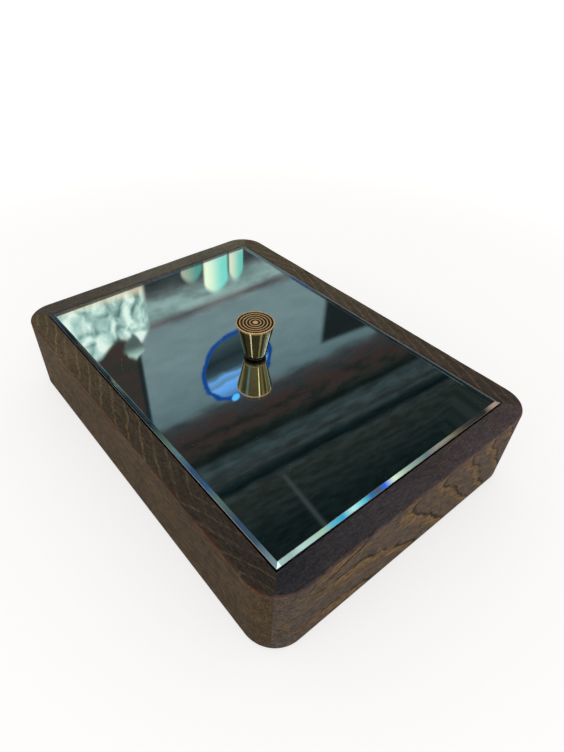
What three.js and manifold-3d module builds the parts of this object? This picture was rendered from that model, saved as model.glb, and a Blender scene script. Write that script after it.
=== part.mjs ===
// Trinket box: a mitred hardwood frame with rounded corners, closed by a lift-off mirror lid
// with a turned brass knob. Millimetres, +Z up. X runs along the box, Y across it.
// The origin is the middle of the footprint, on the surface the box stands on.
import * as THREE from 'three';
import { ConvexGeometry } from 'three/addons/geometries/ConvexGeometry.js';
import { mergeVertices } from 'three/addons/utils/BufferGeometryUtils.js';
import Module from 'manifold-3d';

// ---------------------------------------------------------------- driving dimensions
const LENGTH = 290;             // wooden box along X
const WIDTH = 211;              // wooden box along Y
const WOOD_HEIGHT = 56;         // boards, without the feet
const CORNER_RADIUS = 20;       // outer vertical corners
const ARRIS = 1.5;              // rounding of the outer top and bottom edges
const WALL = 20;                // board thickness
const RAIL = 14.2;              // wood left at the top, outside the lid
const REBATE_DEPTH = 7.4;        // from the top of the wood down to the ledge
const GLUE_LINE = 0.1;          // space between two bonded pieces

const FOOT_RADIUS = 6.5;
const FOOT_HEIGHT = 1.5;

const PANEL_THICKNESS = 3;      // bottom panel, held in a groove
const PANEL_LIFT = 5;           // underside of the panel above the underside of the boards
const GROOVE_DEPTH = 5;
const GROOVE_CLEARANCE = 0.3;
const LINER_THICKNESS = 1.6;
const LINER_CLEARANCE = 0.4;

const SPLINE_THICKNESS = 3;
const SPLINE_WIDTH = 10;        // across the mitre
const SPLINE_FROM_CORNER = 9;   // along the mitre, from the inner corner
const SPLINE_LOW = 12;
const SPLINE_HIGH = 46;
const SPLINE_CLEARANCE = 0.2;

const LID_GAP = 0.9;            // between the glass and the wood, all round
const GLASS_THICKNESS = 3;
const GLASS_PROUD = 1;          // top of the glass above the wood
const BEVEL_WIDTH = 2.6;
const BEVEL_DROP = 0.9;
const GLASS_HOLE_RADIUS = 4;
const BACKING_THICKNESS = 4;
const BACKING_INSET = 0.8;      // backing board inside the edge of the glass
const FACING_THICKNESS = 1;
const FACING_CLEARANCE = 2;     // felt facing inside the box opening
const FACING_HOLE_RADIUS = 8;

const LEDGE_PAD_RADIUS = 2.5;
const LEDGE_PAD_X = 100;

const KNOB_TOP_RADIUS = 12.5;
const KNOB_BASE_RADIUS = 7.5;
const KNOB_HEIGHT = 24.9;
const KNOB_EDGE = 0.5;          // softened edge of the knob's top
const RING_COUNT = 5;           // grooves turned in the knob's top, round a small boss
const RING_PITCH = 2.16;
const INNER_RING_RADIUS = 2.55; // middle of the innermost groove
const RING_WIDTH = 1.5;
const RING_DEPTH = 0.6;
const KNOB_WASHER_RADIUS = 7.6;
const KNOB_WASHER_THICKNESS = 1.2;

const SCREW_RADIUS = 1.9;
const SCREW_HOLE_RADIUS = 2.2;
const SCREW_REACH = 12;         // thread length inside the knob
const SCREW_HEAD_RADIUS = 3.9;
const SCREW_HEAD_HEIGHT = 2.4;
const RECESS_WIDTH = 1;
const RECESS_LENGTH = 4.4;
const RECESS_DEPTH = 1.2;
const SCREW_WASHER_RADIUS = 6;
const SCREW_WASHER_THICKNESS = 0.8;

const ROUND_STEPS = 40;         // sides of a turned piece
const CORNER_STEPS = 8;         // steps round a quarter corner

// ---------------------------------------------------------------- heights and plan sizes
const woodBottom = FOOT_HEIGHT;
const woodTop = woodBottom + WOOD_HEIGHT;
const ledge = woodTop - REBATE_DEPTH;
const panelBottom = woodBottom + PANEL_LIFT;
const panelTop = panelBottom + PANEL_THICKNESS;
const glassTop = woodTop + GLASS_PROUD;
const glassBottom = glassTop - GLASS_THICKNESS;
const backingTop = glassBottom - GLUE_LINE;
const backingBottom = backingTop - BACKING_THICKNESS;
const knobBottom = glassTop + KNOB_WASHER_THICKNESS + GLUE_LINE;
const screwSeat = backingBottom - SCREW_WASHER_THICKNESS - GLUE_LINE;

const cavity = { x: LENGTH - 2 * WALL, y: WIDTH - 2 * WALL };
const pocket = { x: LENGTH - 2 * RAIL, y: WIDTH - 2 * RAIL };
const glass = { x: pocket.x - 2 * LID_GAP, y: pocket.y - 2 * LID_GAP };

// ---------------------------------------------------------------- materials
function material(color, roughness, metalness) {
  return () => new THREE.MeshStandardMaterial({ color, roughness, metalness });
}

const finishes = {
  darkWood: material(0x3a2c24, 0.55, 0),
  paleWood: material(0xb08a5c, 0.7, 0),
  plywood: material(0x9c7a52, 0.7, 0),
  felt: material(0x24262c, 0.95, 0),
  rubber: material(0x101010, 0.6, 0),
  mirror: material(0x8fa6ad, 0.05, 1),
  fibreboard: material(0x5b4534, 0.8, 0),
  nylon: material(0xd9d6cc, 0.5, 0),
  brass: material(0xa98a48, 0.3, 1),
  steel: material(0xb4b4b2, 0.3, 1),
};

// ---------------------------------------------------------------- solids
const wasm = await Module();
wasm.setup();

function toSolid(geometry) {
  const bare = geometry.index ? geometry.toNonIndexed() : geometry.clone();
  bare.deleteAttribute('normal');
  bare.deleteAttribute('uv');
  const merged = mergeVertices(bare, 1e-4);
  const vertProperties = new Float32Array(merged.attributes.position.array);
  const triVerts = new Uint32Array(merged.index.array);
  return new wasm.Manifold(new wasm.Mesh({ numProp: 3, vertProperties, triVerts }));
}

function toGeometry(solid) {
  const mesh = solid.getMesh();
  const geometry = new THREE.BufferGeometry();
  geometry.setAttribute('position', new THREE.BufferAttribute(new Float32Array(mesh.vertProperties), 3));
  geometry.setIndex(new THREE.BufferAttribute(new Uint32Array(mesh.triVerts), 1));
  return geometry;
}

function cut(geometry, ...tools) {
  let solid = toSolid(geometry);
  for (const tool of tools) solid = solid.subtract(toSolid(tool));
  return toGeometry(solid);
}

function slab(sizeX, sizeY, low, high) {
  return new THREE.BoxGeometry(sizeX, sizeY, high - low).translate(0, 0, (low + high) / 2);
}

function disc(radius, low, high) {
  const geometry = new THREE.CylinderGeometry(radius, radius, high - low, ROUND_STEPS);
  return geometry.rotateX(Math.PI / 2).translate(0, 0, (low + high) / 2);
}

function turned(points) {
  const profile = points.map(([radius, height]) => new THREE.Vector2(radius, height));
  return new THREE.LatheGeometry(profile, ROUND_STEPS).rotateX(Math.PI / 2);
}

// A flat ring about the Z axis: its section closes on itself.
function ring(inner, outer, low, high) {
  return turned([[inner, low], [outer, low], [outer, high], [inner, high], [inner, low]]);
}

function roundedRectangle(sizeX, sizeY, radius) {
  const x = sizeX / 2 - radius;
  const y = sizeY / 2 - radius;
  const shape = new THREE.Shape();
  shape.absarc(x, y, radius, 0, Math.PI / 2);
  shape.absarc(-x, y, radius, Math.PI / 2, Math.PI);
  shape.absarc(-x, -y, radius, Math.PI, 1.5 * Math.PI);
  shape.absarc(x, -y, radius, 1.5 * Math.PI, 2 * Math.PI);
  return shape;
}

// ---------------------------------------------------------------- wooden frame
// The whole frame as one ring, before it is parted along the mitres.
function frameRing() {
  const outline = roundedRectangle(LENGTH, WIDTH, CORNER_RADIUS);
  const block = new THREE.ExtrudeGeometry(outline, {
    depth: WOOD_HEIGHT - 2 * ARRIS,
    bevelSize: ARRIS,
    bevelThickness: ARRIS,
    bevelOffset: -ARRIS,
    bevelSegments: 3,
    curveSegments: CORNER_STEPS,
  }).translate(0, 0, woodBottom + ARRIS);
  const over = 1;
  const inside = slab(cavity.x, cavity.y, woodBottom - over, woodTop + over);
  const rebate = slab(pocket.x, pocket.y, ledge, woodTop + over);
  const groove = slab(
    cavity.x + 2 * GROOVE_DEPTH,
    cavity.y + 2 * GROOVE_DEPTH,
    panelBottom - GLUE_LINE,
    panelTop + GLUE_LINE,
  );
  return cut(block, inside, rebate, groove, ...cornerSlots());
}

// Middle of the spline at each corner, and the turn that lays it square across the mitre.
function splinePlaces() {
  const along = SPLINE_FROM_CORNER / Math.SQRT2;
  const places = [];
  for (const [sideX, sideY] of [[1, -1], [1, 1], [-1, 1], [-1, -1]]) {
    places.push({
      x: sideX * (cavity.x / 2 + along),
      y: sideY * (cavity.y / 2 + along),
      turn: -sideX * sideY * Math.PI / 4,
    });
  }
  return places;
}

function splineBlock(place, clearance) {
  const block = slab(
    SPLINE_WIDTH + 2 * clearance,
    SPLINE_THICKNESS + 2 * clearance,
    SPLINE_LOW - clearance,
    SPLINE_HIGH + clearance,
  );
  return block.rotateZ(place.turn).translate(place.x, place.y, 0);
}

function cornerSlots() {
  return splinePlaces().map((place) => splineBlock(place, SPLINE_CLEARANCE));
}

// The plan area of one board: bounded by the two mitres that meet at 45 degrees.
// sideX and sideY point from the middle of the box to the board.
function boardRegion(sideX, sideY) {
  const reach = LENGTH;
  const half = sideX ? WIDTH / 2 : LENGTH / 2;
  const across = sideX ? LENGTH / 2 : WIDTH / 2;
  const margin = GLUE_LINE / Math.SQRT2;
  const corners = [
    [across - half + margin, 0],
    [across + reach, half + reach - margin],
    [across + reach, -half - reach + margin],
  ];
  const points = [];
  for (const height of [woodBottom - reach, woodTop + reach]) {
    for (const [out, side] of corners) {
      const x = sideX ? sideX * out : side;
      const y = sideX ? side : sideY * out;
      points.push(new THREE.Vector3(x, y, height));
    }
  }
  return new ConvexGeometry(points);
}

// ---------------------------------------------------------------- lid pieces
function bevelledGlass() {
  const bevelBottom = glassTop - BEVEL_DROP;
  const levels = [
    [glass.x / 2, glass.y / 2, glassBottom],
    [glass.x / 2, glass.y / 2, bevelBottom],
    [glass.x / 2 - BEVEL_WIDTH, glass.y / 2 - BEVEL_WIDTH, glassTop],
  ];
  const points = [];
  for (const [x, y, z] of levels) {
    for (const [sideX, sideY] of [[1, 1], [1, -1], [-1, -1], [-1, 1]]) {
      points.push(new THREE.Vector3(sideX * x, sideY * y, z));
    }
  }
  return cut(new ConvexGeometry(points), disc(GLASS_HOLE_RADIUS, glassBottom - 1, glassTop + 1));
}

// The tapered knob: a screw hole from below, and rings turned in its top.
function knobShape() {
  const top = knobBottom + KNOB_HEIGHT;
  const profile = [
    [0, knobBottom + SCREW_REACH + 1],
    [SCREW_HOLE_RADIUS, knobBottom + SCREW_REACH],
    [SCREW_HOLE_RADIUS, knobBottom],
    [KNOB_BASE_RADIUS, knobBottom],
    [KNOB_TOP_RADIUS, top - KNOB_EDGE],
    [KNOB_TOP_RADIUS - KNOB_EDGE, top],
  ];
  for (let ringNumber = RING_COUNT - 1; ringNumber >= 0; ringNumber -= 1) {
    const middle = INNER_RING_RADIUS + ringNumber * RING_PITCH;
    profile.push([middle + RING_WIDTH / 2, top]);
    profile.push([middle, top - RING_DEPTH]);
    profile.push([middle - RING_WIDTH / 2, top]);
  }
  profile.push([0, top]);
  return turned(profile);
}

function screwShape() {
  const headBottom = screwSeat - SCREW_HEAD_HEIGHT;
  const tip = knobBottom + SCREW_REACH - 1;
  const body = turned([
    [0, headBottom],
    [SCREW_HEAD_RADIUS * 0.7, headBottom],
    [SCREW_HEAD_RADIUS, screwSeat - SCREW_HEAD_HEIGHT * 0.45],
    [SCREW_HEAD_RADIUS, screwSeat],
    [SCREW_RADIUS, screwSeat],
    [SCREW_RADIUS, tip - 0.6],
    [SCREW_RADIUS - 0.6, tip],
    [0, tip],
  ]);
  const slotLow = headBottom - 1;
  const slotHigh = headBottom + RECESS_DEPTH;
  return cut(
    body,
    slab(RECESS_LENGTH, RECESS_WIDTH, slotLow, slotHigh),
    slab(RECESS_WIDTH, RECESS_LENGTH, slotLow, slotHigh),
  );
}

// ---------------------------------------------------------------- assembly
const box = new THREE.Group();
const lid = new THREE.Group();
const part = new THREE.Group();
part.add(box, lid);

function add(group, name, geometry, finish) {
  const mesh = new THREE.Mesh(geometry, finish());
  mesh.name = name;
  group.add(mesh);
}

function addBoards() {
  const whole = toSolid(frameRing());
  const boards = [
    ['front_board', 0, -1],
    ['right_board', 1, 0],
    ['back_board', 0, 1],
    ['left_board', -1, 0],
  ];
  for (const [name, sideX, sideY] of boards) {
    const board = whole.intersect(toSolid(boardRegion(sideX, sideY)));
    add(box, name, toGeometry(board), finishes.darkWood);
  }
}

function addSplines() {
  const names = ['front_right', 'back_right', 'back_left', 'front_left'];
  splinePlaces().forEach((place, corner) => {
    add(box, `mitre_spline_${names[corner]}`, splineBlock(place, 0), finishes.paleWood);
  });
}

function addBottom() {
  const grip = 2 * (GROOVE_DEPTH - GROOVE_CLEARANCE);
  const panel = slab(cavity.x + grip, cavity.y + grip, panelBottom, panelTop);
  add(box, 'bottom_panel', panel, finishes.plywood);
  const linerBottom = panelTop + GLUE_LINE;
  const liner = slab(
    cavity.x - 2 * LINER_CLEARANCE,
    cavity.y - 2 * LINER_CLEARANCE,
    linerBottom,
    linerBottom + LINER_THICKNESS,
  );
  add(box, 'floor_liner', liner, finishes.felt);
}

function addFeetAndPads() {
  const corners = { front_right: [1, -1], back_right: [1, 1], back_left: [-1, 1], front_left: [-1, -1] };
  const ledgeMiddle = (cavity.y + pocket.y) / 4;
  for (const [corner, [sideX, sideY]] of Object.entries(corners)) {
    const foot = disc(FOOT_RADIUS, 0, FOOT_HEIGHT);
    foot.translate(sideX * (cavity.x / 2 + FOOT_RADIUS), sideY * (cavity.y / 2 + FOOT_RADIUS), 0);
    add(box, `foot_${corner}`, foot, finishes.felt);
    const pad = disc(LEDGE_PAD_RADIUS, ledge, backingBottom - GLUE_LINE);
    pad.translate(sideX * LEDGE_PAD_X, sideY * ledgeMiddle, 0);
    add(box, `ledge_pad_${corner}`, pad, finishes.rubber);
  }
}

function addLid() {
  add(lid, 'mirror_glass', bevelledGlass(), finishes.mirror);
  const backing = slab(glass.x - 2 * BACKING_INSET, glass.y - 2 * BACKING_INSET, backingBottom, backingTop);
  const screwHole = disc(SCREW_HOLE_RADIUS, backingBottom - 1, backingTop + 1);
  add(lid, 'lid_backing_board', cut(backing, screwHole), finishes.fibreboard);
  const facingTop = backingBottom - GLUE_LINE;
  const facing = slab(
    cavity.x - 2 * FACING_CLEARANCE,
    cavity.y - 2 * FACING_CLEARANCE,
    facingTop - FACING_THICKNESS,
    facingTop,
  );
  const facingHole = disc(FACING_HOLE_RADIUS, facingTop - 5, facingTop + 5);
  add(lid, 'lid_felt_facing', cut(facing, facingHole), finishes.felt);
}

function addKnob() {
  add(lid, 'knob', knobShape(), finishes.brass);
  const washerTop = knobBottom - GLUE_LINE / 2;
  const washerBottom = glassTop + GLUE_LINE / 2;
  const washer = ring(SCREW_HOLE_RADIUS, KNOB_WASHER_RADIUS, washerBottom, washerTop);
  add(lid, 'knob_washer', washer, finishes.rubber);
  const bush = ring(SCREW_HOLE_RADIUS, GLASS_HOLE_RADIUS - GLUE_LINE, glassBottom, glassTop);
  add(lid, 'glass_hole_bush', bush, finishes.nylon);
  add(lid, 'knob_screw', screwShape(), finishes.steel);
  const plateTop = backingBottom - GLUE_LINE / 2;
  const plateBottom = screwSeat + GLUE_LINE / 2;
  const plate = ring(SCREW_HOLE_RADIUS, SCREW_WASHER_RADIUS, plateBottom, plateTop);
  add(lid, 'screw_washer', plate, finishes.steel);
}

addBoards();
addSplines();
addBottom();
addFeetAndPads();
addLid();
addKnob();

export default part;
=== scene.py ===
"""Looks of the trinket box: stained hardwood frame, back-silvered bevelled mirror lid, turned brass knob.

Everything is in metres in the frame of the CAD model: X along the box, Y across it, +Z up.
"""
import math

import bpy
from mathutils import Matrix, Vector, noise


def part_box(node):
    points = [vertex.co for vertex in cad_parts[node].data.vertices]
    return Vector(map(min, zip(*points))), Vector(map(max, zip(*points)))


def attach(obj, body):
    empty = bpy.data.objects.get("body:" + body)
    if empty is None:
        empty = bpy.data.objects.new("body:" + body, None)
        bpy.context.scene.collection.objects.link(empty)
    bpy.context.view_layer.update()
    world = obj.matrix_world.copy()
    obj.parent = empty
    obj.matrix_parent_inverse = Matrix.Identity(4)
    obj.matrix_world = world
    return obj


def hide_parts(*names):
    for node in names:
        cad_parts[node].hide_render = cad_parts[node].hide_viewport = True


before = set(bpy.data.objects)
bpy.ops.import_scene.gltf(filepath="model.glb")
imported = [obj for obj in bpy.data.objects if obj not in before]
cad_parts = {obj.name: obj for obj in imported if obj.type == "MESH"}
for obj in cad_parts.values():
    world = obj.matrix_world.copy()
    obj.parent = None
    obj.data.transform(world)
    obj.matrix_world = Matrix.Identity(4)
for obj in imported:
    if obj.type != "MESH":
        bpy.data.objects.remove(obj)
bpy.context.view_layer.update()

MM = 0.001
CORNERS = ("front_right", "back_right", "back_left", "front_left")

# ---- places taken from the frame
front_low, front_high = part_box("front_board")
right_low, right_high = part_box("right_board")
glass_low, glass_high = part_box("mirror_glass")
panel_low, panel_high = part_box("bottom_panel")
backing_low, backing_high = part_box("lid_backing_board")
facing_low, facing_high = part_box("lid_felt_facing")
liner_low, liner_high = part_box("floor_liner")
pad_low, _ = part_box("ledge_pad_front_right")
_, bush_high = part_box("glass_hole_bush")
knob_low, knob_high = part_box("knob")
_, washer_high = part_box("knob_washer")
screw_low, screw_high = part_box("knob_screw")
plate_low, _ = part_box("screw_washer")

HALF_LENGTH = right_high.x
HALF_WIDTH = -front_low.y
WALL = right_high.x - right_low.x
WOOD_BOTTOM = front_low.z
WOOD_TOP = front_high.z
LEDGE = pad_low.z
LID_GAP = 0.9 * MM
GLUE = 0.1 * MM
RAIL = HALF_LENGTH - glass_high.x - LID_GAP
GROOVE_DEPTH = 5 * MM
CORNER_RADIUS = WALL
KNOB_TOP_RADIUS = knob_high.x
SCREW_HOLE_RADIUS = 2.2 * MM


# ---- mesh building
def make_object(name, vertices, faces, smooth=True):
    mesh = bpy.data.meshes.new(name)
    mesh.from_pydata([tuple(v) for v in vertices], [], faces)
    mesh.validate()
    mesh.update()
    for polygon in mesh.polygons:
        polygon.use_smooth = smooth
    piece = bpy.data.objects.new(name, mesh)
    bpy.context.scene.collection.objects.link(piece)
    return piece


def skin(rings, wrap=False, cap=False):
    """Faces between rings of equal length. wrap joins the last ring to the first, cap closes both ends."""
    size = len(rings[0])
    vertices = [point for ring in rings for point in ring]
    faces = []
    count = len(rings)
    for i in range(count if wrap else count - 1):
        low, high = i * size, (i + 1) % count * size
        for j in range(size):
            k = (j + 1) % size
            faces.append((low + j, low + k, high + k, high + j))
    if cap:
        faces.append(tuple(reversed(range(size))))
        faces.append(tuple(range((count - 1) * size, count * size)))
    return vertices, faces


def circle(radius, z, steps, centre=(0.0, 0.0)):
    turns = [2 * math.pi * (i + 0.5) / steps for i in range(steps)]
    return [Vector((centre[0] + radius * math.cos(t), centre[1] + radius * math.sin(t), z)) for t in turns]


def rectangle(half_x, half_y, z, steps):
    """A rectangle as a ring of points that starts and turns as circle() does, with its four corners kept."""
    side = steps // 4
    corners = [(1, -1), (1, 1), (-1, 1), (-1, -1)]
    ring = []
    for i in range(4):
        (ax, ay), (bx, by) = corners[i], corners[(i + 1) % 4]
        for j in range(side):
            t = j / side
            ring.append(Vector((half_x * (ax + (bx - ax) * t), half_y * (ay + (by - ay) * t), z)))
    shift = steps // 8
    return ring[shift:] + ring[:shift]


def closed_skin(name, rings, first, last):
    """A closed piece: rings between the points first and last, with a fan of faces at each end."""
    size = len(rings[0])
    vertices, faces = skin(rings)
    start, end = len(vertices), len(vertices) + 1
    for j in range(size):
        k = (j + 1) % size
        faces.append((start, k, j))
        faces.append((start - size + j, start - size + k, end))
    return make_object(name, vertices + [first, last], faces)


def lathe(name, profile, steps, centre=(0.0, 0.0)):
    """A turned piece, whose profile starts and ends on the axis."""
    rings = [circle(radius, z, steps, centre) for radius, z in profile[1:-1]]
    return closed_skin(name, rings, Vector((*centre, profile[0][1])), Vector((*centre, profile[-1][1])))


def ring_section(inner, outer, low, high, edge, steps=3):
    """Section of a flat ring whose four corners are rounded, as (radius, height), once round."""
    points = []
    corners = [(inner + edge, low + edge), (outer - edge, low + edge),
               (outer - edge, high - edge), (inner + edge, high - edge)]
    for quarter, (radius, z) in enumerate(corners):
        for i in range(steps + 1):
            angle = math.pi / 2 * (quarter + 2 + i / steps)
            points.append((radius + edge * math.cos(angle), z + edge * math.sin(angle)))
    return points


def set_attribute(piece, name, values):
    attribute = piece.data.attributes.new(name, "FLOAT", "POINT")
    attribute.data.foreach_set("value", values)


def mark_sharp(piece, angle):
    piece.data.set_sharp_from_angle(angle=math.radians(angle))


def place(piece, material, body, node):
    """Gives a piece its material and body, and puts it in the place of a CAD node."""
    piece.data.materials.append(material)
    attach(piece, body)
    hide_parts(node)


def dress(node, material):
    """A CAD node that stays in view gets a material."""
    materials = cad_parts[node].data.materials
    materials.clear()
    materials.append(material)


# ---- material building
def calculation(operation, swapped=False):
    """A method of Field that is one math node."""
    def method(field, other=0.0):
        a, b = (other, field) if swapped else (field, other)
        return field.nodes.math(operation, a, b)
    return method


class Field:
    """A number, vector or colour that varies over a surface: a node's output, and what can be made of it."""
    __add__ = calculation("ADD")
    __radd__ = calculation("ADD", swapped=True)
    __sub__ = calculation("SUBTRACT")
    __rsub__ = calculation("SUBTRACT", swapped=True)
    __mul__ = calculation("MULTIPLY")
    __truediv__ = calculation("DIVIDE")
    __pow__ = calculation("POWER")
    __abs__ = calculation("ABSOLUTE")
    root = calculation("SQRT")
    fraction = calculation("FRACT")
    at_least = calculation("MAXIMUM")
    at_most = calculation("MINIMUM")

    def __init__(self, nodes, socket):
        self.nodes = nodes
        self.socket = socket

    def dot(self, other):
        return self.nodes.vector("DOT_PRODUCT", self, other)

    def scaled(self, factor):
        return self.nodes.vector("SCALE", self, Scale=factor)

    def mapped(self, scale=(1, 1, 1), turn=(0, 0, 0), move=(0, 0, 0)):
        return self.nodes.made("Mapping", "Vector", Vector=self, Scale=scale, Rotation=turn, Location=move)

    def noise(self, scale, detail=2.0, roughness=0.5, distortion=0.0, **mapping):
        """Noise whose scale is one number, or three where it is drawn out one way."""
        at = self
        if isinstance(scale, tuple):
            at, scale = self.mapped(scale, **mapping), 1.0
        return self.nodes.made("TexNoise", "Fac", Vector=at, Scale=scale, Detail=detail,
                               Roughness=roughness, Distortion=distortion)

    def band(self, low, high, out_low=0.0, out_high=1.0):
        """The value taken from low..high to out_low..out_high, held at both ends."""
        node = self.nodes.node("MapRange", {"interpolation_type": "SMOOTHSTEP"})
        for index, number in enumerate((self, low, high, out_low, out_high)):
            self.nodes.feed(node.inputs[index], number)
        return Field(self.nodes, node.outputs["Result"])

    def between(self, at_zero, at_one):
        return self.band(0.0, 1.0, at_zero, at_one)

    def window(self, low, high, soft):
        """1 where the value is between low and high, 0 outside, with soft edges."""
        return self.band(low - soft, low + soft) * self.band(high - soft, high + soft, 1.0, 0.0)

    def ramp(self, stops):
        """A colour for each value, from stops of (value, red, green, blue)."""
        node = self.nodes.node("ValToRGB", Fac=self)
        elements = node.color_ramp.elements
        while len(elements) < len(stops):
            elements.new(0.5)
        for element, (at, *color) in zip(elements, stops):
            element.position = at
            element.color = (*color, 1.0)
        return Field(self.nodes, node.outputs["Color"])


class Nodes:
    """Short calls for the nodes of one tree. A value may be a number, a colour or a Field."""

    def __init__(self, tree):
        self.tree = tree
        tree.nodes.clear()

    def feed(self, socket, value):
        if isinstance(value, Field):
            self.tree.links.new(value.socket, socket)
        elif socket.type == "RGBA" and len(value) == 3:
            socket.default_value = (*value, 1.0)
        else:
            socket.default_value = value

    def node(self, kind, settings=None, **values):
        made = self.tree.nodes.new("ShaderNode" + kind)
        for name, value in (settings or {}).items():
            setattr(made, name, value)
        for name, value in values.items():
            self.feed(made.inputs[name.replace("_", " ")], value)
        return made

    def made(self, kind, output, settings=None, **values):
        """One output of a new node."""
        return Field(self, self.node(kind, settings, **values).outputs[output])

    def math(self, operation, a, b=0.0, clamp=False):
        made = self.node("Math", {"operation": operation, "use_clamp": clamp})
        self.feed(made.inputs[0], a)
        self.feed(made.inputs[1], b)
        return Field(self, made.outputs["Value"])

    def vector(self, operation, a, b=None, **values):
        made = self.node("VectorMath", {"operation": operation}, **values)
        self.feed(made.inputs[0], a)
        if b is not None:
            self.feed(made.inputs[1], b)
        return Field(self, made.outputs["Value" if operation in ("DOT_PRODUCT", "LENGTH") else "Vector"])

    def joined(self, x=0.0, y=0.0, z=0.0):
        return self.made("CombineXYZ", "Vector", X=x, Y=y, Z=z)

    def split(self, vector):
        return [Field(self, socket) for socket in self.node("SeparateXYZ", Vector=vector).outputs]

    def mix(self, share, a, b, blend="MIX"):
        made = self.node("Mix", {"data_type": "RGBA", "blend_type": blend})
        self.feed(made.inputs["Factor"], share)
        self.feed(made.inputs[6], a)
        self.feed(made.inputs[7], b)
        return Field(self, made.outputs[2])

    def dimmed(self, share, tone, factors):
        """A colour multiplied by another where share is 1."""
        return self.mix(share, tone, self.mix(1.0, tone, factors, "MULTIPLY"))


class Paint(Nodes):
    """A material with one Principled shader."""

    def __init__(self, name):
        self.material = bpy.data.materials.new(name)
        self.material.use_nodes = True
        super().__init__(self.material.node_tree)
        self.shader = self.node("BsdfPrincipled")
        self.node("OutputMaterial", Surface=Field(self, self.shader.outputs["BSDF"]))
        self.coords = self.made("TexCoord", "Object")

    def set(self, **values):
        for name, value in values.items():
            self.feed(self.shader.inputs[name.replace("_", " ")], value)

    def set_bump(self, height, distance, strength=1.0):
        self.set(Normal=self.made("Bump", "Normal", Height=height, Distance=distance, Strength=strength))

    def attribute(self, name):
        return self.made("Attribute", "Fac", {"attribute_name": name})

    def turning_marks(self, scale, detail, roughness):
        """Noise in rings about the Z axis, as a lathe leaves it."""
        x, y, z = self.split(self.coords)
        return self.joined((x * x + y * y).root(), 0.0, z).noise(scale, detail, roughness)


def shade(color, factor):
    return tuple(channel * factor for channel in color)


# Both count growth rings, from mm along the board, into it from its outer face and down from its top.
def flame_rings(along, depth, drop):
    """A board cut across its flame: nested arches that open towards its far end."""
    flame_start, flame_pitch, plain_pitch = -88, 75.0, 24.0
    past = along + depth * 5.5 - flame_start
    grown = (past.at_least(0.0) / flame_pitch) ** 2.0
    before = past.at_most(0.0) / plain_pitch
    off = drop - (7.0 - along * 0.08)
    arm = (off * off + 9.0).root()
    return grown + before - arm * 0.036


def saddle_rings(along, depth, drop):
    """A board whose top dips round a knot: lines that lean towards one place."""
    knot, lean_pitch, depth_pitch = 70.0, 17.0, 6.5
    return abs(along - knot) / lean_pitch + 8.0 - depth / depth_pitch


DARK_LINE = (0.020, 0.014, 0.010)
OPEN_PORE = (0.016, 0.010, 0.007)
BARE_WOOD = (0.22, 0.125, 0.060)
GLASS_IOR = 1.52


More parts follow.
